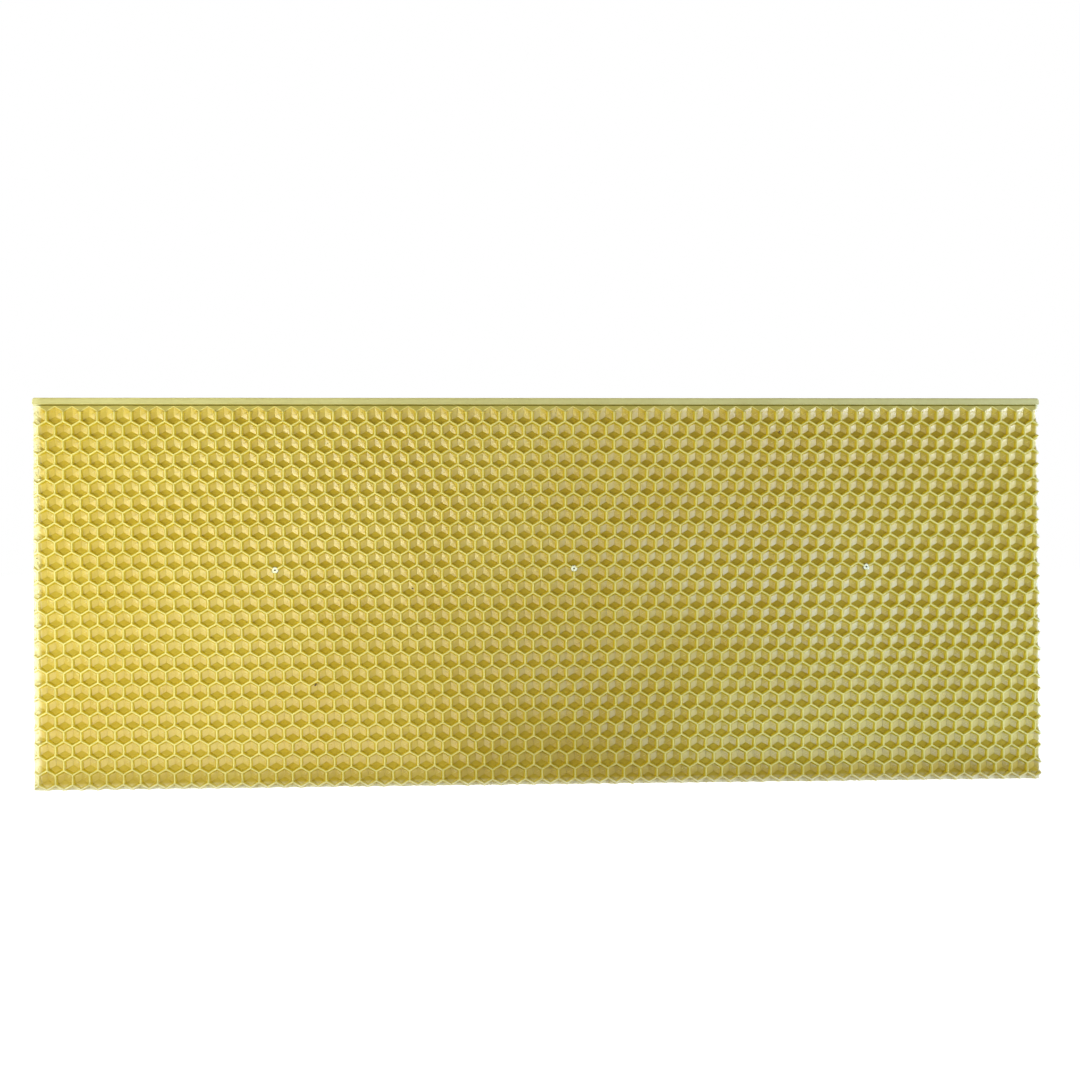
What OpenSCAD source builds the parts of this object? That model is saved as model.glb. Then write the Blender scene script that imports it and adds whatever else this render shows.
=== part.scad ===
// Comb foundation sheet: a thin moulded sheet with the base of a honeycomb on both faces.
// It slides into the grooves of a hive frame with its rail upwards, and bees build on it.
// Width runs along X and height along Z. The front faces -Y. The origin is the middle of
// the rail's top face. The hollow of each cell is 3 mm across and is left out here: the two
// cell nodes are slabs of the true outline, thickness and top edge.

/* [Sheet] */
// Width of the sheet, cut edge to cut edge
sheet_w = 330.4; // [320:0.1:430]
// Height of the sheet, rail included
sheet_h = 127; // [100:0.5:240]
// Thickness of the midrib between the two layers of cells
midrib_t = 0.9; // [0.6:0.1:1.6]

/* [Cells] */
// Distance between the centres of neighbouring cells in a row
cell_pitch = 5.4; // [5:0.05:5.6]
// Height of the cell walls above the midrib
wall_h = 1.55; // [0.8:0.05:2.5]
// Distance from the top of the rail to the tips of the first row of cells
first_tip = 2.9; // [2.5:0.1:5]
// Where the first front cell's upper corner lies, from the left edge
front_start = 1.62; // [0:0.01:2.7]
// Thickness of the beeswax on top of the walls
wax_t = 0.1; // [0.05:0.05:0.3]

/* [Rail and margin] */
// Height of the rail along the top edge
rail_h = 2.1; // [1:0.1:2.4]
// Radius of the rail's two outer corners
rail_corner_r = 1; // [0.3:0.1:1]
// Height of the flat margin above the midrib
margin_h = 0.6; // [0.3:0.1:0.8]

/* [Gate stubs] */
// Diameter of the stub that each moulding gate leaves
gate_d = 2.1; // [1:0.1:3]
// Height of each stub above the midrib
gate_h = 1.3; // [0.5:0.1:1.5]
// Row of cells, counted from 0 at the top, whose lower corners carry the gates
gate_row = 10; // [2:2:12]
// Cell of that row, counted from 0 at the left edge, that carries the middle gate
gate_mid = 32; // [30:1:34]
// Number of cells between one gate and the next
gate_step = 18; // [6:1:18]

/* [Hidden] */

cell_r = cell_pitch / sqrt(3);          // a cell's centre to its corner
row_step = 1.5 * cell_r;                // one row of cells to the next
half_w = sheet_w / 2;
face_y = midrib_t / 2;                  // either face of the midrib
crown_y = face_y + wall_h;              // tops of the walls
cells_across = ceil(sheet_w / cell_pitch) + 1;
first_centre = first_tip + cell_r;      // depth of the first row's centres
shoulder = first_tip + cell_r / 2;      // depth at which the walls of both faces start
gate_z = -(first_centre + gate_row * row_step + cell_r);

cream = "#E6DA84";
straw = "#D9CB72";
olive = "#BFAE58";
wax = "#EFE7A6";
stress_white = "#E9E6CC";

// A flat layer between two distances from the middle of the sheet, towards the front
module layer(near, far) {
  translate([0, -near, 0]) rotate([90, 0, 0]) linear_extrude(far - near) children();
}

module to_the_rear() {
  mirror([0, 1, 0]) children();
}

// The upper boundary of the front cells: one tip for each cell of the first row
crown_line = [
  for (i = [-2 : 2 * cells_across])
    [-half_w + front_start + i * cell_pitch / 2, -(i % 2 == 0 ? first_tip : shoulder)]
];

// The full width of the sheet between two depths below the rail's top
module band(top, bottom) {
  translate([-half_w, -bottom]) square([sheet_w, bottom - top]);
}

module front_cells_outline() {
  intersection() {
    band(rail_h, sheet_h);
    polygon(concat(crown_line, [[half_w + 20, -sheet_h - 10], [-half_w - 20, -sheet_h - 10]]));
  }
}

module front_margin_outline() {
  intersection() {
    band(rail_h, sheet_h);
    polygon(concat(crown_line, [[half_w + 20, 10], [-half_w - 20, 10]]));
  }
}

// Twelve-sided, so that a stub and its pocket meet flat to flat
module gate_outlines() {
  for (k = [-1 : 1])
    translate([-half_w + front_start + (gate_mid + k * gate_step) * cell_pitch, gate_z])
      circle(d = gate_d, $fn = 12);
}

module midrib() {
  color(olive) layer(-face_y, face_y) band(rail_h, sheet_h);
}

module front_cell_walls() {
  color(cream) layer(face_y, crown_y) difference() {
    front_cells_outline();
    gate_outlines();
  }
}

module rear_cell_walls() {
  color(cream) to_the_rear() layer(face_y, crown_y) band(shoulder, sheet_h);
}

module top_rail() {
  flat = sheet_w - 2 * rail_corner_r;
  color(straw) layer(-crown_y, crown_y) union() {
    translate([-half_w, -rail_h]) square([sheet_w, rail_h - rail_corner_r]);
    translate([-flat / 2, -rail_h]) square([flat, rail_h]);
    for (side = [-1, 1])
      translate([side * flat / 2, -rail_corner_r]) circle(r = rail_corner_r, $fn = 48);
  }
}

module front_margin() {
  color(olive) layer(face_y, face_y + margin_h) front_margin_outline();
}

module rear_margin() {
  color(olive) to_the_rear() layer(face_y, face_y + margin_h) band(rail_h, shoulder);
}

module gate_stubs() {
  color(stress_white) layer(face_y, face_y + gate_h) gate_outlines();
}

module front_wax_coat() {
  color(wax) layer(crown_y, crown_y + wax_t) difference() {
    front_cells_outline();
    gate_outlines();
  }
}

module rear_wax_coat() {
  color(wax) to_the_rear() layer(crown_y, crown_y + wax_t) band(shoulder, sheet_h);
}

midrib();
front_cell_walls();
rear_cell_walls();
top_rail();
front_margin();
rear_margin();
gate_stubs();
front_wax_coat();
rear_wax_coat();
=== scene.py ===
"""Wax-coated comb foundation sheet: the detailed meshes, materials, lights and camera."""
import math
import random

import bmesh
import bpy
from mathutils import Matrix, Vector, noise


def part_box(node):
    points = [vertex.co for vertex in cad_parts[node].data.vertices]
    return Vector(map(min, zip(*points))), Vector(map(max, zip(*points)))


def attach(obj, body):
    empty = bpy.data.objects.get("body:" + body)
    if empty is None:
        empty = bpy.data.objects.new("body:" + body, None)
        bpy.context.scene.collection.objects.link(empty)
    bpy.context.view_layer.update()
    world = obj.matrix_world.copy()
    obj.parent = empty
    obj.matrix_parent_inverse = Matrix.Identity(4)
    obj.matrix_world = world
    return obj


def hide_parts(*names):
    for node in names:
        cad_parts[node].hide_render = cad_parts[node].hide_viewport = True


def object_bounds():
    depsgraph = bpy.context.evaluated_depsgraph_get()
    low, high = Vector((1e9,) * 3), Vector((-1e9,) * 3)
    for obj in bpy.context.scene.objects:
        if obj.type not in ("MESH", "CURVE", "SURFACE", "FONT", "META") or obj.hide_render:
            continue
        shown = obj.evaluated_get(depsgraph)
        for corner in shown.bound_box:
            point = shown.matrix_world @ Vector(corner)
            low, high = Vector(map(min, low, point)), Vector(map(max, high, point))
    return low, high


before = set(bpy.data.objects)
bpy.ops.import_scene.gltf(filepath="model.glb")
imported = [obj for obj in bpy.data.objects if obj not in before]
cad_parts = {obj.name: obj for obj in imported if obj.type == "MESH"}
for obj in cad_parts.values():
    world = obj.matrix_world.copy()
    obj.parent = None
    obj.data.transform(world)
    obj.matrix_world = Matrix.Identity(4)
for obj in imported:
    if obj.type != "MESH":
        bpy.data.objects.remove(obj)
CAD_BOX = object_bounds()

# ---------------------------------------------------------------- sizes, in millimetres
MM = 0.001


def in_mm(box):
    """The lowest and highest corners of a box, in millimetres."""
    return [Vector(corner_point) / MM for corner_point in box]


SHEET_LO, SHEET_HI = in_mm(CAD_BOX)
WALLS_LO, WALLS_HI = in_mm(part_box("front_cell_walls"))
RAIL_LO, RAIL_HI = in_mm(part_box("top_rail"))
GATES_LO, GATES_HI = in_mm(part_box("gate_stubs"))
RIB_HI = in_mm(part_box("midrib"))[1]
MARGIN_LO = in_mm(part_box("front_margin"))[0]
WAX_LO = in_mm(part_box("front_wax_coat"))[0]

HALF_W = SHEET_HI.x
BOTTOM = SHEET_LO.z
CROWN = -WALLS_LO.y  # height of the wall tops above the middle of the sheet
RIB_FACE = RIB_HI.y  # half the midrib's thickness
WAX_TOP = -WAX_LO.y
MARGIN_TOP = -MARGIN_LO.y
FIRST_TIP = WALLS_HI.z  # the upper tips of the first row of cells
SHOULDER = MARGIN_LO.z  # where the cell walls start, below the plain margin

PITCH = 5.4  # between the centres of neighbouring cells
CELL_R = PITCH / math.sqrt(3)  # from a cell's centre to its corner
ROW_STEP = 1.5 * CELL_R
FIRST_X = -HALF_W + 1.62  # the first front cell's centre
FIRST_Z = FIRST_TIP - CELL_R
# Rows and columns of cells, with a few to spare on every side that the cuts take off
ROWS = range(-2, math.ceil(-BOTTOM / ROW_STEP) + 1)
COLUMNS = range(-2, math.ceil(2 * HALF_W / PITCH) + 2)
RELIEF = 0.5  # how far a cell's base rises or falls from the midrib's mean level
RELIEF_CREASE = 0.13  # the slight fold along the middle of each upper right rhombus
DRAFT = math.tan(math.radians(12))  # how much the walls widen towards their feet
WALL_HALF = 0.19  # half the width of a wall near its top
EMBED = 0.1  # how far the walls reach into the midrib
EASE = 0.2  # size of the eased corner along the foot of a wall
SEAM_HEIGHT = 0.07  # how far the fine raised lines stand out of the cells' bases
SEAM_FOOT = 0.09  # how far they reach into the midrib
RAIL_OVERLAP = 1.0  # how far the midrib and the margins reach up into the rail
RAIL_CORNER = 1.0  # radius of the rail's two outer corners
RAIL_EASE = 0.2  # size of the eased edges along the rail's top
LIP_EASE = 0.24  # size of the eased edge along the margin's lower rim
GROOVE_DROP = 0.24  # from the rail down to the middle of the groove in the margin
GROOVE_HALF = 0.22
GROOVE_DEPTH = 0.5
GATE_R = (GATES_HI.z - GATES_LO.z) / 2
GATE_SINK = 0.85  # walls are pressed down towards this level under a gate mark
GATE_KEPT = 0.4  # the share of their height above that level that they keep
GATE_REACH = 0.8  # how far along a wall that goes
GATE_SPLIT = 0.85  # how far along a wall it is split, so that only its end dips

# The cut edges: a point, the outward direction, how ragged the cut is, and a seed
BOTTOM_RISE = 0.6  # the lower cut runs this much higher at the left end than at the right
BOTTOM_CUT = ((HALF_W, 0, BOTTOM + 0.02), (-BOTTOM_RISE, 0, -2 * HALF_W), 0.35, 5.0)
LEFT_CUT = ((-HALF_W + 0.25, 0, 0), (-1, 0, 0), 0.25, 1.0)
LEFT_RIB_CUT = ((-HALF_W + 0.02, 0, 0), (-1, 0, 0), 0.25, 1.0)
RIGHT_CUT = ((HALF_W - 0.02, 0, 0), (1, 0, 0), 0.25, 3.0)
RIGHT_RIB_CUT = ((HALF_W - 0.3, 0, 0), (1, 0, 0), 0.15, 3.0)


# ---------------------------------------------------------------- mesh helpers
def ripple(x, z, size, seed):
    """A smooth random value from about -1 to 1 that varies over the given size in mm."""
    return noise.noise(Vector((x / size, z / size, seed)))


def new_piece(name, bm, smooth_below=None):
    """Turns a bmesh in millimetres into an object in metres that rides on the sheet."""
    bmesh.ops.scale(bm, vec=(MM, MM, MM), verts=bm.verts)
    bm.normal_update()
    mesh = bpy.data.meshes.new(name)
    bm.to_mesh(mesh)
    bm.free()
    obj = bpy.data.objects.new(name, mesh)
    bpy.context.scene.collection.objects.link(obj)
    if smooth_below is not None:
        mesh.shade_smooth()
        mesh.set_sharp_from_angle(angle=math.radians(smooth_below))
    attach(obj, "root")
    return obj


def bmesh_from(verts, faces):
    """A bmesh of the given places and of faces that name them by number."""
    bm = bmesh.new()
    made = [bm.verts.new(v) for v in verts]
    for face in faces:
        bm.faces.new([made[i] for i in face])
    bm.normal_update()
    return bm


def bisect(bm, geom, point, normal, clear_outer=False):
    """Splits the given geometry along a plane and returns the new edges that lie on it."""
    done = bmesh.ops.bisect_plane(
        bm, geom=geom, dist=1e-5, plane_co=point, plane_no=normal, clear_outer=clear_outer
    )
    return [g for g in done["geom_cut"] if isinstance(g, bmesh.types.BMEdge)]


def whole(bm):
    """All the geometry of a bmesh, in the form that its operators take."""
    return bm.verts[:] + bm.edges[:] + bm.faces[:]


def cut(bm, point, outward, ragged=0.0, seed=0.0):
    """Cuts off what lies outward of a plane, closes the cut and roughens it inwards."""
    outward = Vector(outward).normalized()
    edges = bisect(bm, whole(bm), point, outward, clear_outer=True)
    bmesh.ops.holes_fill(bm, edges=edges, sides=0)
    for v in {v for e in edges for v in e.verts}:
        along = v.co.z if abs(outward.x) > 0.5 else v.co.x
        waves = 0.55 * ripple(along, v.co.y, 4.0, seed)
        nicks = 0.35 * ripple(along, v.co.y, 1.1, seed + 9)
        v.co -= outward * (ragged * min(max(0.45 + waves + nicks, 0.0), 1.0))


def score(bm, z, half, depth):
    """Runs a V along X at a given height on both faces: a groove, or a ridge if depth < 0."""
    for level in (z - half, z, z + half):
        bisect(bm, whole(bm), (0, 0, level), (0, 0, 1))
    for v in bm.verts:
        if abs(v.co.z - z) < 1e-4 and abs(v.co.y) > 0.02:
            v.co.y -= math.copysign(depth, v.co.y)


def tidy_faces(bm):
    """Splits faces of more than four corners and removes any that have no area."""
    bmesh.ops.triangulate(bm, faces=[f for f in bm.faces if len(f.verts) > 4])
    bmesh.ops.dissolve_degenerate(bm, dist=1e-5, edges=bm.edges)


def turned_outward(verts, faces):
    """A bmesh with doubled vertices merged and every face turned outward."""
    bm = bmesh_from(verts, faces)
    bmesh.ops.remove_doubles(bm, verts=bm.verts, dist=1e-4)
    bmesh.ops.recalc_face_normals(bm, faces=bm.faces)
    return bm


# ---------------------------------------------------------------- the honeycomb lattice
def cell_centre(j, k):
    """The middle of cell k of row j. Odd rows are half a cell to the right."""
    return FIRST_X + (k + 0.5 * (j % 2)) * PITCH, FIRST_Z - j * ROW_STEP


def corner(x, z, c, radius):
    """Corner c of a hexagon: 0 is the top one and they run clockwise, seen from the front."""
    a = math.radians(90 - 60 * c)
    return x + radius * math.cos(a), z + radius * math.sin(a)


def cells():
    """Every cell, as its row and column."""
    return [(j, k) for j in ROWS for k in COLUMNS]


def neighbours(j, k):
    """The cells to the right, upper right and lower right."""
    side = k + j % 2
    return (j, k + 1), (j - 1, side), (j + 1, side)


def gate_places():
    """The three corners, each shared by three cells, at which the gates were."""
    middle = (GATES_LO.x + GATES_HI.x) / 2
    z = (GATES_LO.z + GATES_HI.z) / 2
    step = (GATES_HI.x - GATES_LO.x) / 2 - GATE_R
    return [(middle + g * step, z) for g in (-1, 0, 1)]


def distance_from(v, x, z):
    """How far a vertex is from a place on the sheet, seen from the front."""
    return math.hypot(v.co.x - x, v.co.z - z)


def split_walls_near(bm, x, z):
    """Splits the three walls that meet at a corner, a little way along each."""
    area = 4  # only faces this near to the corner are split
    for turn in (30, 150, 270):
        way = Vector((math.cos(math.radians(turn)), 0, math.sin(math.radians(turn))))
        near = [f for f in bm.faces if distance_from(f.verts[0], x, z) < area]
        near_verts = list({v for f in near for v in f.verts})
        near_edges = list({e for f in near for e in f.edges})
        place = Vector((x, 0, z)) + GATE_SPLIT * way
        bisect(bm, near + near_verts + near_edges, place, way)


def sink_at_gates(bm):
    """Makes the three walls that meet at each gate dip below the mark that stands there."""
    for x, z in gate_places():
        split_walls_near(bm, x, z)
        for v in bm.verts:
            if distance_from(v, x, z) < GATE_REACH:
                v.co.y = -(GATE_SINK + (-v.co.y - GATE_SINK) * GATE_KEPT)


def midrib_plan():
    """The midrib's triangles, and its vertices as (x, z, front height, rear height).

    Under each cell lie three rhombi. A cell's centre is deep, its corners 1, 3 and 5 are
    raised, and the other three are level with the midrib's mean surface.
    """
    sites, verts, plan = {}, [], []

    def site(x, z, height):
        key = (round(x, 3), round(z, 3))
        if key not in sites:
            sites[key] = len(verts)
            verts.append((x, z, height, height))
        return sites[key]

    for j, k in cells():
        x, z = cell_centre(j, k)
        centre = site(x, z, -RELIEF)
        ring = [site(*corner(x, z, c, CELL_R), RELIEF if c % 2 else 0.0) for c in range(6)]
        for far, fold in ((1, RELIEF_CREASE), (5, RELIEF_CREASE / 3), (3, 0.0)):
            rim = (centre, ring[(far + 1) % 6], ring[far], ring[(far - 1) % 6])
            middle = len(verts)
            verts.append((*corner(x, z, far, CELL_R / 2), fold, -fold))
            plan += [(rim[i], rim[(i + 1) % 4], middle) for i in range(4)]
    return verts, plan


def build_midrib():
    """The web between the two faces, bent towards both of them."""
    verts, plan = midrib_plan()
    n = len(verts)
    front = [(x, -(h + RIB_FACE), z) for x, z, h, _ in verts]
    rear = [(x, RIB_FACE - h, z) for x, z, _, h in verts]
    faces = plan + [(n + c, n + b, n + a) for a, b, c in plan]
    edges = [(f[i], f[(i + 1) % 3]) for f in plan for i in range(3)]
    inner = set(edges)
    faces += [(b, a, n + a, n + b) for a, b in edges if (b, a) not in inner]
    bm = bmesh_from(front + rear, faces)
    cut(bm, (0, 0, -RAIL_OVERLAP), (0, 0, 1))
    cut(bm, *LEFT_RIB_CUT)
    cut(bm, *RIGHT_RIB_CUT)
    cut(bm, *BOTTOM_CUT)
    score(bm, SHOULDER - 0.02, 0.1, -0.05)
    tidy_faces(bm)
    return new_piece("midrib_web", bm)


def seam_ridge(start, end, lift, half):
    """A low ridge between two points, as vertices and faces. lift raises its middle further."""
    along = Vector((end[0] - start[0], 0, end[2] - start[2])).normalized()
    across = Vector((along.z, 0, -along.x)) * half
    top = SEAM_HEIGHT
    verts = []
    for t, crown in ((0.14, 0.0), (0.3, top), (0.5, top + lift), (0.7, top), (0.86, 0.0)):
        spot = Vector(start).lerp(Vector(end), t)
        fold = min(t, 1 - t)
        sunk = fold * 2 * lift - SEAM_FOOT
        verts.append(spot + across + Vector((0, -sunk, 0)))
        verts.append(spot - across + Vector((0, -sunk, 0)))
        verts.append(spot + Vector((0, -(crown + fold * lift), 0)))
    faces = []
    for s in range(4):
        for i in range(3):
            p, q = 3 * s + i, 3 * s + (i + 1) % 3
            faces.append((p, p + 3, q + 3, q))
    faces += [(0, 1, 2), (14, 13, 12)]
    return verts, faces


def build_seams():
    """Fine raised lines that the mould left on the front: along two folds of each cell's base."""
    verts, faces = [], []
    for j, k in cells():
        x, z = cell_centre(j, k)
        if j < 0 or abs(x) > HALF_W - PITCH / 2 or z < BOTTOM + CELL_R:
            continue
        centre = (x, RELIEF - RIB_FACE, z)
        far = corner(x, z, 1, CELL_R)
        top = corner(x, z, 0, CELL_R)
        for ridge in (
            seam_ridge(centre, (far[0], -RELIEF - RIB_FACE, far[1]), RELIEF_CREASE, 0.11),
            seam_ridge(centre, (top[0], -RIB_FACE, top[1]), 0.0, 0.09),
        ):
            faces += [tuple(len(verts) + i for i in face) for face in ridge[1]]
            verts += ridge[0]
    bm = bmesh_from(verts, faces)
    bmesh.ops.recalc_face_normals(bm, faces=bm.faces)
    return new_piece("mould_seams", bm, smooth_below=30)


class WallGrid:
    """The vertices and faces of the walls around every cell on one face of the sheet.

    side is -1 for the front and 1 for the rear. Each ring is (half the wall's width, height
    above the middle of the sheet), from the crown down. foot, if given, is a function of the
    corner that returns the last rings. jitter is how uneven the rings are.
    """

    def __init__(self, side, rings, foot, jitter):
        self.side = side
        self.jitter = jitter
        self.profiles = [rings + (foot(c) if foot else []) for c in range(6)]
        self.last = len(self.profiles[0]) - 1
        self.index, self.verts, self.faces = {}, [], []
        drop = 0 if side < 0 else CELL_R  # the rear cells are centred on the front corners
        for j, k in cells():
            x, z = cell_centre(j, k)
            self.add_cell((j, k), x, z - drop)
        for cell in self.index:
            self.close_cell(cell)
        if side > 0:
            self.faces = [face[::-1] for face in self.faces]

    def add_cell(self, cell, x, z):
        """The rings of vertices along the walls of one cell, unless it lies off the sheet."""
        far = 2.5 * PITCH
        if abs(x) > HALF_W + far or z < BOTTOM - far or z > far:
            return
        self.index[cell] = len(self.verts)
        for level in range(self.last + 1):
            for c in range(6):
                half, height = self.profiles[c][level]
                if self.jitter:
                    cx, cz = corner(x, z, c, CELL_R * 0.9)
                    half += 1.2 * self.jitter * ripple(cx, cz, 1.7, level)
                    height = min(height + self.jitter * ripple(cx, cz, 2.9, 7.0), WAX_TOP)
                px, pz = corner(x, z, c, (PITCH / 2 - half) * 2 / math.sqrt(3))
                self.verts.append((px, self.side * height, pz))

    def at(self, cell, level, c):
        return self.index[cell] + level * 6 + c % 6

    def cap(self, *spots):
        """A face on top of a wall and its twin below, through (cell, corner) pairs."""
        self.faces.append(tuple(self.at(cell, 0, c) for cell, c in spots))
        self.faces.append(tuple(self.at(cell, self.last, c) for cell, c in reversed(spots)))

    def close_cell(self, cell):
        """The insides of a cell's walls, and the caps that join it to its neighbours."""
        for c in range(6):
            for v in range(self.last):
                lower = (self.at(cell, v, c), self.at(cell, v + 1, c))
                upper = (self.at(cell, v + 1, c + 1), self.at(cell, v, c + 1))
                self.faces.append(lower + upper)
        right, up, down = neighbours(*cell)
        for other, a, b in ((up, 0, 3), (right, 1, 4), (down, 2, 5)):
            if other in self.index:
                self.cap((cell, a), (cell, a + 1), (other, b), (other, b + 1))
        for one, a, two, b, c in ((right, 5, up, 3, 1), (down, 0, right, 4, 2)):
            if one in self.index and two in self.index:
                self.cap((cell, c), (one, a), (two, b))


def build_network(name, side, rings, foot=None, jitter=0.0):
    """A closed grid of walls, trimmed to the sheet. WallGrid says what the values mean."""
    grid = WallGrid(side, rings, foot, jitter)
    bm = bmesh_from(grid.verts, grid.faces)
    if side < 0:
        sink_at_gates(bm)
    cut(bm, (0, 0, SHOULDER - 0.04), (0, 0, 1))
    for edge in (LEFT_CUT, RIGHT_CUT, BOTTOM_CUT):
        cut(bm, *edge)
    tidy_faces(bm)
    return new_piece(name, bm, smooth_below=40)


def wall_foot(raised):
    """The eased foot of a wall, which follows the midrib down to each corner's own depth."""

    def foot(c):
        base = RIB_FACE + (RELIEF if c % 2 == raised else 0)
        side = WALL_HALF + (CROWN - base) * DRAFT
        return [
            (side - 0.01, base + EASE),
            (side + 0.6 * EASE, base + 0.02),
            (side + EASE, base - EMBED),
        ]

    return foot


WALL_RINGS = [
    (WALL_HALF - 0.09, CROWN),
    (WALL_HALF - 0.02, CROWN - 0.02),
    (WALL_HALF + 0.02, CROWN - 0.1),
]
WAX_RINGS = [
    (WALL_HALF - 0.13, WAX_TOP - 0.015),
    (WALL_HALF - 0.03, WAX_TOP - 0.03),
    (WALL_HALF + 0.035, CROWN - 0.01),
    (WALL_HALF + 0.02, CROWN - 0.12),
]


# ---------------------------------------------------------------- rail, margins and gates
def rail_profile(low, high):
    """The rail's outline across its length, from the front's lower edge to the rear's."""
    groove_z = low + 0.3 * (high - low)
    face = [
        (CROWN - 0.1, low),
        (CROWN, low + 0.1),
        (CROWN, groove_z - 0.1),
        (CROWN - 0.02, groove_z),
        (CROWN, groove_z + 0.1),
        (CROWN, high - RAIL_EASE),
        (CROWN - 0.3 * RAIL_EASE, high - 0.3 * RAIL_EASE),
        (CROWN - RAIL_EASE, high),
    ]
    return [(-y, z) for y, z in face] + [(y, z) for y, z in reversed(face)]


def rail_stations():
    """Where the rail's profile is repeated along X: closely at its rounded ends."""
    steps = 150
    inner = HALF_W - RAIL_CORNER
    ends = [RAIL_CORNER * (1 - math.cos(math.radians(a))) for a in (0, 20, 40, 60, 80)]
    stations = [-HALF_W + e for e in ends]
    stations += [-inner + 2 * inner * i / steps for i in range(steps + 1)]
    return stations + [HALF_W - e for e in reversed(ends)]


def build_rail():
    """The rail, swept along its length with eased edges, a faint groove and rounded ends."""
    low, high = RAIL_LO.z, RAIL_HI.z
    profile = rail_profile(low, high)
    stations = rail_stations()
    verts, faces = [], []
    for x in stations:
        past = max(abs(x) - (HALF_W - RAIL_CORNER), 0)
        limit = high - (RAIL_CORNER - math.sqrt(max(RAIL_CORNER**2 - past**2, 0)))
        for y, z in profile:
            lift = 0.03 * (ripple(x, y, 23, 2.0) - 1) * (z - low) / (high - low)
            verts.append((x, y, min(z + lift, limit)))
    n = len(profile)
    for s in range(len(stations) - 1):
        for i in range(n):
            a, b = s * n + i, s * n + (i + 1) % n
            faces.append((a, b, b + n, a + n))
    faces.append(tuple(range(n))[::-1])
    faces.append(tuple(range(len(verts) - n, len(verts))))
    bm = turned_outward(verts, faces)
    tidy_faces(bm)
    return new_piece("top_rail_moulding", bm, smooth_below=35)


def margin_lower_edge(side):
    """The lower edge of a margin: a zigzag along the first row of front cells, or a line."""
    if side > 0:
        return [(-HALF_W - PITCH, SHOULDER), (HALF_W + PITCH, SHOULDER)]
    return [
        (FIRST_X + i * PITCH / 2, FIRST_TIP - (0 if i % 2 == 0 else CELL_R / 2))
        for i in range(-2, 2 * len(COLUMNS))
    ]


def build_margin(name, side):
    """The flat strip under the rail. On the front, the first row of cells cuts into it."""
    top = RAIL_LO.z + RAIL_OVERLAP
    reach = HALF_W - 0.05
    edge = margin_lower_edge(side)
    outline = edge + [(edge[-1][0], top), (edge[0][0], top)]
    bm = bmesh_from([(x, 0.0, z) for x, z in outline], [range(len(outline))])
    out = bmesh.ops.extrude_face_region(bm, geom=bm.faces[:])
    moved = [g for g in out["geom"] if isinstance(g, bmesh.types.BMVert)]
    bmesh.ops.translate(bm, verts=moved, vec=(0, side * MARGIN_TOP, 0))
    bmesh.ops.recalc_face_normals(bm, faces=bm.faces)
    cut(bm, (-reach, 0, 0), (-1, 0, 0))
    cut(bm, (reach, 0, 0), (1, 0, 0))
    lip = [
        e for e in bm.edges
        if all(abs(v.co.y - side * MARGIN_TOP) < 1e-3 and v.co.z < RAIL_LO.z for v in e.verts)
    ]
    bmesh.ops.bevel(bm, geom=lip, offset=LIP_EASE, segments=2, affect="EDGES", profile=0.6)
    score(bm, RAIL_LO.z - GROOVE_DROP, GROOVE_HALF, GROOVE_DEPTH)
    tidy_faces(bm)
    return new_piece(name, bm, smooth_below=40)


# A gate mark from its middle outwards: (share of its radius, height against its rim)
GATE_PROFILE = (
    (0.0, -0.55), (0.15, -0.5), (0.25, -0.2), (0.36, 0.0),
    (0.6, 0.0), (0.8, -0.03), (0.95, -0.12), (1.07, -0.5),
)


def build_gate_marks():
    """A low blister with a pit in its middle, where each moulding gate was snapped off."""
    turns = 36
    height = WAX_TOP - 0.08
    angles = [2 * math.pi * t / turns for t in range(turns)]
    rings = len(GATE_PROFILE) + 1
    verts, faces = [], []
    for x, z in gate_places():
        base = len(verts)
        for share, level in GATE_PROFILE:
            for a in angles:
                wave = 1 + 0.16 * ripple(2 * math.cos(a) + x, 2 * math.sin(a), 0.6, 4.0)
                px = x + GATE_R * share * wave * math.cos(a)
                pz = z + GATE_R * share * wave * math.sin(a)
                lump = 0.12 * ripple(px, pz, 0.35, 8.0) * (share > 0.3)
                verts.append((px, -min(height + level + lump, WAX_TOP), pz))
        for a in angles:
            verts.append((x + GATE_R * math.cos(a), -RIB_FACE, z + GATE_R * math.sin(a)))
        for s in range(rings - 1):
            for t in range(turns):
                a, b = base + s * turns + t, base + s * turns + (t + 1) % turns
                faces.append((a, b, b + turns, a + turns))
        faces.append([base + (rings - 1) * turns + t for t in range(turns)])
    bm = turned_outward(verts, faces)
    tidy_faces(bm)
    return new_piece("gate_marks", bm, smooth_below=50)


# ---------------------------------------------------------------- loose bits
FLAKE_ALONG = 12  # faces along a shaving
FLAKE_ACROSS = 4
FLAKE_THICK = 0.05


def flake_rim():
    """The vertices round the outline of one layer of a shaving, in order."""
    step = FLAKE_ACROSS + 1
    rim = [i * step for i in range(FLAKE_ALONG + 1)]
    rim += [FLAKE_ALONG * step + j for j in range(1, FLAKE_ACROSS + 1)]
    rim += [i * step + FLAKE_ACROSS for i in range(FLAKE_ALONG - 1, -1, -1)]
    return rim + list(range(FLAKE_ACROSS - 1, 0, -1))


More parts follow.
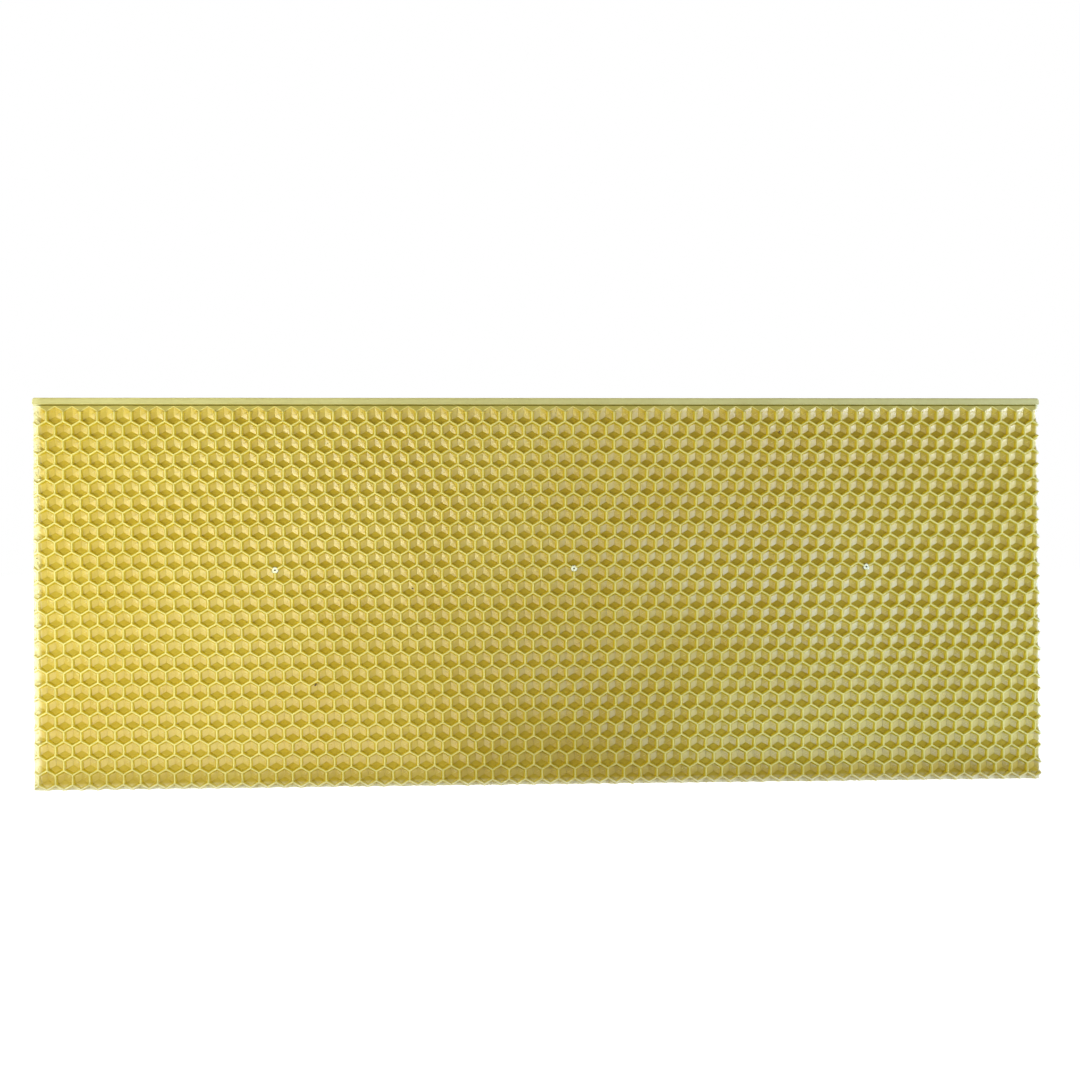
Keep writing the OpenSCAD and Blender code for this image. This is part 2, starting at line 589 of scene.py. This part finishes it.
def add_flake(bm, rng, at, length, width, turn, tilt, curl):
    """A thin, curled, leaf-shaped shaving with pointed ends."""
    pose = Matrix.Translation(at) @ Matrix.Rotation(turn, 4, "Y") @ Matrix.Rotation(tilt, 4, "X")
    grid = []
    for layer in (-FLAKE_THICK / 2, FLAKE_THICK / 2):
        for i in range(FLAKE_ALONG + 1):
            u = 2 * i / FLAKE_ALONG - 1
            half = width / 2 * max(1 - u * u, 0.004) ** 0.6 * (1 + 0.15 * rng.uniform(-1, 1))
            for j in range(FLAKE_ACROSS + 1):
                v = 2 * j / FLAKE_ACROSS - 1
                bow = curl * (v * v - 0.3 * u * u)
                grid.append(bm.verts.new(pose @ Vector((u * length / 2, layer - bow, v * half))))
    step = FLAKE_ACROSS + 1
    sheet = (FLAKE_ALONG + 1) * step
    for i in range(FLAKE_ALONG):
        for j in range(FLAKE_ACROSS):
            a = i * step + j
            quad = (a, a + step, a + step + 1, a + 1)
            bm.faces.new([grid[k] for k in quad])
            bm.faces.new([grid[k + sheet] for k in reversed(quad)])
    rim = flake_rim()
    for a, b in zip(rim, rim[1:] + rim[:1]):
        bm.faces.new((grid[b], grid[a], grid[a + sheet], grid[b + sheet]))


def build_left_burrs():
    """Shavings and folded scraps in the half cells that the knife ran through on the left."""
    bm = bmesh.new()
    rng = random.Random(11)
    for j in range(0, 26, 2):
        x, z = cell_centre(j, 0)
        if rng.random() < 0.75:
            at = Vector((x - 0.2 + rng.uniform(-0.1, 0.3), -1.15, z - CELL_R * 0.52))
            turn = math.radians(rng.choice((0, 5, -10, 40, 55)) + rng.uniform(-6, 6))
            add_flake(bm, rng, at, rng.uniform(1.7, 2.3), rng.uniform(0.7, 1.0), turn, 0.35, 0.16)
        if rng.random() < 0.45:
            at = Vector((x + rng.uniform(-0.5, 0.3), -1.2, z + CELL_R * rng.uniform(-0.1, 0.35)))
            turn = math.radians(rng.uniform(50, 100))
            add_flake(bm, rng, at, rng.uniform(1.2, 2.0), rng.uniform(0.5, 1.1), turn, -0.3, 0.2)
    bmesh.ops.recalc_face_normals(bm, faces=bm.faces)
    return new_piece("left_burrs", bm, smooth_below=50)


def build_bottom_burrs():
    """Small whiskers along the lower cut."""
    bm = bmesh.new()
    rng = random.Random(23)
    x = -HALF_W + 4
    while x < HALF_W - 4:
        cut_z = BOTTOM + BOTTOM_RISE * (HALF_W - x) / (2 * HALF_W)
        at = Vector((x, rng.uniform(-1.2, -0.5), cut_z + rng.uniform(0.35, 0.55)))
        turn = math.radians(rng.uniform(-25, 25))
        add_flake(bm, rng, at, rng.uniform(0.6, 1.5), rng.uniform(0.25, 0.5), turn, 0.3, 0.1)
        x += rng.uniform(4, 16)
    bmesh.ops.recalc_face_normals(bm, faces=bm.faces)
    return new_piece("bottom_burrs", bm, smooth_below=50)


def build_lumps(name, spots, seed, flat):
    """Irregular lumps, each with a place in a cell, a rise off the midrib, a size and a lean."""
    rng = random.Random(seed)
    bm = bmesh.new()
    for j, k, dx, dz, rise, size, lean in spots:
        x, z = cell_centre(j, k)
        made = bmesh.ops.create_icosphere(bm, subdivisions=3, radius=1.0)["verts"]
        squash = Vector((rng.uniform(1.0, 1.3), flat, rng.uniform(0.45, 0.7))) * size
        place = Matrix.Translation((x + dx, -RIB_FACE - rise, z + dz))
        pose = place @ Matrix.Rotation(math.radians(-lean), 4, "Y")
        for v in made:
            swell = 1 + 0.3 * noise.noise(v.co * 1.7 + Vector((seed, j, k)))
            v.co = pose @ (v.co * squash * swell)
    return new_piece(name, bm, smooth_below=80)


# Each lump: row and column of its cell, offset to the side and upwards, rise, size, lean
DIRT = (
    (19, 16, -0.6, 1.75, 1.25, 0.5, 42),
    (12, 22, 1.2, 0.0, 0.15, 0.3, 0),
    (1, 44, 1.0, -0.5, 0.15, 0.38, 60),
    (10, 0, -0.5, 1.1, 0.15, 0.22, 20),
)
WAX_DROPS = (
    (4, 6, -1.0, 1.0, 0.1, 0.35, 20),
    (20, 4, 0.8, -0.6, 0.1, 0.25, 70),
    (25, 38, 0.5, 1.1, 0.1, 0.3, 10),
)


# ---------------------------------------------------------------- materials
THROUGH = (1.0, 0.9, 0.05)  # the colour of light that has passed through the plastic
CUT_WHITE_AND_HIGHLIGHT = (0.92, 0.89, 0.6)  # pale colour along the cut edges: partly plastic that a cut has whitened, partly a painted highlight for the strong light from below
FRAY_AND_HIGHLIGHT_REACH = 2.8 * MM  # how far in from a cut edge the pale colour reaches, whitening and painted highlight alike


class Nodes:
    """A short way to build a node material."""

    def __init__(self, name):
        self.material = bpy.data.materials.new(name)
        self.material.use_nodes = True
        self.tree = self.material.node_tree
        self.shader = self.tree.nodes["Principled BSDF"]
        self.place = self.tree.nodes.new("ShaderNodeTexCoord").outputs["Object"]

    def put(self, socket, value):
        """Gives an input a value, or links it if the value is another node's output."""
        if isinstance(value, bpy.types.NodeSocket):
            self.tree.links.new(value, socket)
        else:
            socket.default_value = value

    def add(self, kind, inputs, **settings):
        node = self.tree.nodes.new(kind)
        for key, value in settings.items():
            setattr(node, key, value)
        for key, value in inputs.items():
            self.put(node.inputs[key], value)
        return node

    def axes(self):
        """The place on the sheet, as separate x, y and z in metres."""
        return self.add("ShaderNodeSeparateXYZ", {"Vector": self.place}).outputs

    def noise(self, per_metre, detail=2.0, rough=0.5):
        return self.add(
            "ShaderNodeTexNoise",
            {"Vector": self.place, "Scale": per_metre, "Detail": detail, "Roughness": rough},
        ).outputs["Fac"]

    def range(self, value, low, high, to_low=0.0, to_high=1.0):
        ends = {"From Min": low, "From Max": high, "To Min": to_low, "To Max": to_high}
        return self.add("ShaderNodeMapRange", {"Value": value, **ends}).outputs["Result"]

    def math(self, operation, a, b):
        return self.add("ShaderNodeMath", {0: a, 1: b}, operation=operation).outputs[0]

    def mix(self, factor, a, b):
        node = self.add("ShaderNodeMix", {"Factor": factor}, data_type="RGBA")
        for socket, value in ((node.inputs[6], a), (node.inputs[7], b)):
            self.put(socket, (*value, 1.0) if isinstance(value, tuple) else value)
        return node.outputs[2]

    def bump(self, height, strength, distance):
        return self.add(
            "ShaderNodeBump", {"Height": height, "Strength": strength, "Distance": distance}
        ).outputs["Normal"]

    def glow_through(self, share, colour):
        """Lets part of the light through, as thin plastic does."""
        through = self.add("ShaderNodeBsdfTranslucent", {"Color": (*colour, 1.0)})
        blend = self.add("ShaderNodeMixShader", {0: share})
        self.put(blend.inputs[1], self.shader.outputs[0])
        self.put(blend.inputs[2], through.outputs[0])
        self.put(self.tree.nodes["Material Output"].inputs["Surface"], blend.outputs[0])

    def set(self, **values):
        """Sets inputs of the main shader. An underscore stands for a space in their names."""
        for key, value in values.items():
            self.put(self.shader.inputs[key.replace("_", " ")], value)


def edge_nearness(n, reach):
    """1 along the three cut edges of the sheet, falling to 0 at the given reach in metres.

    The right edge was cut more cleanly, so its reach is a third of that.
    """
    x, _, z = n.axes()
    left = n.math("ADD", x, HALF_W * MM)
    right = n.math("MULTIPLY", n.math("SUBTRACT", HALF_W * MM, x), 3.0)
    foot = n.math("SUBTRACT", z, BOTTOM * MM)
    nearest = n.math("MINIMUM", n.math("MINIMUM", left, right), foot)
    return n.range(nearest, 0.35 * reach, reach, 1.0, 0.0)


def wax_film(n):
    """How thick the film of wax is, from 0 to 1: broad blotches, mottling and fine grain."""
    blotch = n.range(n.noise(34, 3), 0.36, 0.66)
    mottle = n.range(n.noise(260, 2), 0.3, 0.75)
    grain = n.range(n.noise(1200, 3), 0.35, 0.65)
    film = n.math("ADD", n.math("MULTIPLY", blotch, 0.45), n.math("MULTIPLY", mottle, 0.3))
    return n.math("ADD", film, n.math("MULTIPLY", grain, 0.25))


def waxed_plastic(name, deep, pale, roughness, coat, through, root=None, fray_and_highlight_strength=0.95):
    """Moulded plastic under a thin, uneven film of beeswax, and how much light it lets through.

    The colour runs from deep to pale as the film gets thicker. If root is given, it is the
    colour at the foot of the walls. fray says how strongly the cut edges are paled: partly
    plastic whitened by the cut, partly a painted highlight for the strong light from below.
    """
    n = Nodes(name)
    film = wax_film(n)
    colour = n.mix(film, deep, pale)
    if root:
        height = n.math("ABSOLUTE", n.axes()[1], 0.0)
        depth = n.range(height, (RIB_FACE + 0.3) * MM, (CROWN - 0.3) * MM, 1.0, 0.0)
        colour = n.mix(depth, colour, root)
    # The cut edges are paled: partly whitening by the cut, partly a painted highlight for the
    # strong light from below on the edge cells.
    patchy = n.range(n.noise(900, 2), 0.15, 0.45)
    fray_and_highlight_mask = n.math("MULTIPLY", edge_nearness(n, FRAY_AND_HIGHLIGHT_REACH), patchy)
    fine = n.noise(2600, 3, 0.6)
    gloss = n.math("ADD", film, n.math("MULTIPLY", fine, 0.3))
    relief = n.math("ADD", fine, n.math("MULTIPLY", n.noise(700, 2), 2.0))
    n.set(
        # mixes in the pale cut edges: real whitening and painted highlight
        Base_Color=n.mix(n.math("MULTIPLY", fray_and_highlight_mask, fray_and_highlight_strength), colour, CUT_WHITE_AND_HIGHLIGHT),
        Roughness=n.range(gloss, 0, 1.3, roughness - 0.06, roughness + 0.1),
        IOR=1.55,
        Coat_Weight=coat,
        Coat_Roughness=0.2,
        Coat_IOR=1.62,
        Normal=n.bump(relief, 0.25, 0.00003),
    )
    n.glow_through(through, THROUGH)
    return n.material


def torn_plastic():
    """Plastic whitened by the knife: pale, glossy and half clear."""
    n = Nodes("torn_plastic")
    tint = n.mix(n.range(n.noise(1500, 2), 0.35, 0.65), (0.76, 0.7, 0.36), (0.85, 0.82, 0.6))
    n.set(Base_Color=tint, Roughness=0.35, Normal=n.bump(n.noise(4000, 2), 0.4, 0.00004))
    n.glow_through(0.35, (0.95, 0.9, 0.55))
    return n.material


def dark_dirt():
    n = Nodes("dark_dirt")
    tint = n.mix(n.noise(3000, 3), (0.03, 0.018, 0.006), (0.12, 0.075, 0.02))
    n.set(Base_Color=tint, Roughness=0.8)
    return n.material


def gate_plastic():
    """Stress-whitened plastic, with painted shade in the pit: everything below a set depth, the
    mark's sides too, is near black.
    """
    n = Nodes("stress_white_plastic")
    # painted shade: 1 deeper than a set depth, which takes in the pit and the sides of the mark
    pit_painted_shade = n.range(n.axes()[1], -(WAX_TOP - 0.15) * MM, -(WAX_TOP - 0.4) * MM)
    mottle = n.range(n.noise(2200, 3), 0.35, 0.65)
    pale = n.mix(mottle, (0.6, 0.6, 0.38), (0.84, 0.84, 0.66))
    n.set(
        # the pit's painted shade is a near-black brown
        Base_Color=n.mix(pit_painted_shade, pale, (0.1, 0.07, 0.02)),
        Roughness=0.6,
        Normal=n.bump(n.noise(3500, 3), 0.5, 0.00005),
    )
    return n.material


# ---------------------------------------------------------------- build
MOULDING = waxed_plastic(
    "waxed_moulding", (0.535, 0.367, 0.014), (0.61, 0.468, 0.047), 0.3, 0.9, 0.08
)
WALLS = waxed_plastic(
    "waxed_walls", (0.66, 0.57, 0.12), (0.72, 0.65, 0.18), 0.34, 0.5, 0.46, (0.6, 0.445, 0.014)
)
MARGIN = waxed_plastic(
    "margin_plastic", (0.33, 0.265, 0.025), (0.4, 0.335, 0.06), 0.4, 0.3, 0.06
)
WAX = waxed_plastic("beeswax", (0.63, 0.56, 0.15), (0.7, 0.63, 0.22), 0.5, 0.0, 0.15)
RAIL = waxed_plastic(
    "rail_plastic", (0.465, 0.425, 0.165), (0.535, 0.495, 0.21), 0.5, 0.0, 0.1, fray_and_highlight_strength=0.15
)
GATE = gate_plastic()
TORN = torn_plastic()
DARK = dark_dirt()


def dress(obj, material, slot, *nodes):
    """Gives a piece its material and hides the CAD nodes that it stands for. slot is not used."""
    obj.data.materials.append(material)
    if nodes:
        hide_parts(*nodes)


def wax_the_lip(margin):
    """The margin's lower rim carries as much wax as the walls that run into it."""
    margin.data.materials.append(WAX)
    for face in margin.data.polygons:
        if face.normal.z < -0.2 and face.center.z < (RAIL_LO.z - 0.6) * MM:
            face.material_index = 1


dress(build_midrib(), MOULDING, "moulding", "midrib")
for side, face, raised in ((-1, "front", 1), (1, "rear", 0)):
    walls = build_network(f"{face}_walls", side, WALL_RINGS, foot=wall_foot(raised))
    dress(walls, WALLS, "moulding", f"{face}_cell_walls")
    coat = build_network(f"{face}_wax", side, WAX_RINGS, jitter=0.02)
    dress(coat, WAX, "wax", f"{face}_wax_coat")
    margin = build_margin(f"{face}_margin_strip", side)
    dress(margin, MARGIN, "moulding", f"{face}_margin")
    wax_the_lip(margin)
dress(build_rail(), RAIL, "rail", "top_rail")
dress(build_gate_marks(), GATE, "gate", "gate_stubs")
dress(build_seams(), WAX, "wax")
dress(build_left_burrs(), TORN, "moulding")
dress(build_bottom_burrs(), TORN, "moulding")
dress(build_lumps("dirt_specks", DIRT, 3, 0.7), DARK, "moulding")
dress(build_lumps("wax_drops", WAX_DROPS, 8, 0.4), WAX, "wax")


# ---------------------------------------------------------------- stage, lights and camera
FLOOR_GLOW = 0.46  # how much of its own light the floor throws on the sheet
MIDDLE = (0, 0, BOTTOM * MM / 2)
TABLE = BOTTOM * MM + 0.001  # the height of the panels that lie on the floor
WHITE = (1, 1, 1)
SKY = (0.7, 0.8, 1.0)
COOL = (0.42, 0.64, 1.0)
WARM = (1.0, 0.97, 0.62)
PALE_GREEN = (0.9, 1.0, 0.93)


def build_floor():
    """A white floor. It looks bright, and lights the sheet as a dimmer one would."""
    radius, steps = 9.0, 96
    turns = [2 * math.pi * i / steps for i in range(steps)]
    ring = [(radius * math.cos(a), radius * math.sin(a), BOTTOM * MM) for a in turns]
    mesh = bpy.data.meshes.new("floor")
    mesh.from_pydata(ring, [], [range(steps)])
    floor = bpy.data.objects.new("floor", mesh)
    bpy.context.scene.collection.objects.link(floor)
    n = Nodes("pale_floor")
    seen = n.add("ShaderNodeLightPath", {}).outputs["Is Camera Ray"]
    n.set(
        Base_Color=(0.3, 0.3, 0.3, 1),
        Roughness=0.9,
        Emission_Color=(1, 1, 1, 1),
        Emission_Strength=n.range(seen, 0, 1, FLOOR_GLOW, 1.0),
    )
    mesh.materials.append(n.material)


def softbox(name, place, aim, size, radiance, tint=WHITE, glossy=True):
    """A soft rectangular lamp, described by the brightness of its surface.

    If it isn't glossy, it lights the sheet but has no reflection in it.
    """
    data = bpy.data.lights.new(name, "AREA")
    data.shape = "RECTANGLE"
    data.size, data.size_y = size
    data.energy = radiance * math.pi * size[0] * size[1]
    data.color = tint
    lamp = bpy.data.objects.new(name, data)
    lamp.location = place
    lamp.rotation_euler = (Vector(aim) - Vector(place)).to_track_quat("-Z", "Y").to_euler()
    lamp.visible_camera = False
    lamp.visible_glossy = glossy
    bpy.context.scene.collection.objects.link(lamp)


def lying_panel(name, x, y, size, radiance, tint=WHITE):
    """A lamp that lies on the floor in front of the sheet, facing up."""
    softbox(name, (x, y, TABLE), (x, y, 1), size, radiance, tint)


def build_lights():
    """Panels on the floor in front of the sheet, and lamps beside, above and behind it."""
    lying_panel("panel_left_far", -0.4, -0.33, (0.26, 0.16), 5.0, PALE_GREEN)
    lying_panel("panel_left_middle", -0.25, -0.2, (0.18, 0.14), 4.3, WARM)
    lying_panel("panel_left_near", -0.12, -0.075, (0.18, 0.13), 1.15)
    lying_panel("panel_centre", 0.01, -0.2, (0.12, 0.12), 1.5, WARM)
    lying_panel("panel_right_far", 0.43, -0.3, (0.28, 0.18), 1.3)
    lying_panel("panel_right_middle", 0.27, -0.15, (0.2, 0.14), 4.4, COOL)
    lying_panel("panel_right_near", 0.14, -0.05, (0.2, 0.08), 1.6, COOL)
    softbox(
        "low_left", (-0.2, -0.2, -0.085), (-0.16, 0, -0.095), (0.16, 0.07), 5.6, PALE_GREEN,
        glossy=False,
    )
    softbox("side_right", (0.8, -0.5, -0.03), MIDDLE, (0.6, 0.18), 16.0, SKY)
    softbox("high_left", (-0.6, -0.4, 0.35), MIDDLE, (0.4, 0.4), 6.0, WARM)
    softbox("rear", (-0.1, 0.5, 0.1), MIDDLE, (0.6, 0.4), 5.0)


def build_world():
    """A white surround for the camera, and a dimmer one as fill light."""
    world = bpy.data.worlds.new("studio")
    world.use_nodes = True
    tree = world.node_tree
    fill = tree.nodes["Background"]
    fill.inputs["Color"].default_value = (1, 0.96, 0.9, 1)
    fill.inputs["Strength"].default_value = 0.1
    seen = tree.nodes.new("ShaderNodeBackground")
    seen.inputs["Color"].default_value = (1, 1, 1, 1)
    path = tree.nodes.new("ShaderNodeLightPath")
    mix = tree.nodes.new("ShaderNodeMixShader")
    tree.links.new(path.outputs["Is Camera Ray"], mix.inputs[0])
    tree.links.new(fill.outputs[0], mix.inputs[1])
    tree.links.new(seen.outputs[0], mix.inputs[2])
    tree.links.new(mix.outputs[0], tree.nodes["World Output"].inputs["Surface"])
    bpy.context.scene.world = world


def build_camera():
    """Almost square on, a little left of the middle, which brings the left end nearer."""
    data = bpy.data.cameras.new("camera")
    data.lens = 61.1
    data.sensor_width = 36.0
    data.clip_start = 0.01
    camera = bpy.data.objects.new("camera", data)
    camera.location = (-0.0439, -0.6, -0.0526)
    turn = Matrix.Rotation(math.radians(-4.015), 4, "Z")
    tilt = Matrix.Rotation(math.radians(0.579), 4, "X")
    roll = Matrix.Rotation(math.radians(0.317), 4, "Y")
    upright = Matrix.Rotation(math.radians(90), 4, "X")
    camera.rotation_euler = (turn @ tilt @ roll @ upright).to_euler()
    bpy.context.scene.collection.objects.link(camera)
    bpy.context.scene.camera = camera


build_floor()
build_world()
build_camera()
build_lights()
bpy.context.scene.view_settings.view_transform = "Standard"
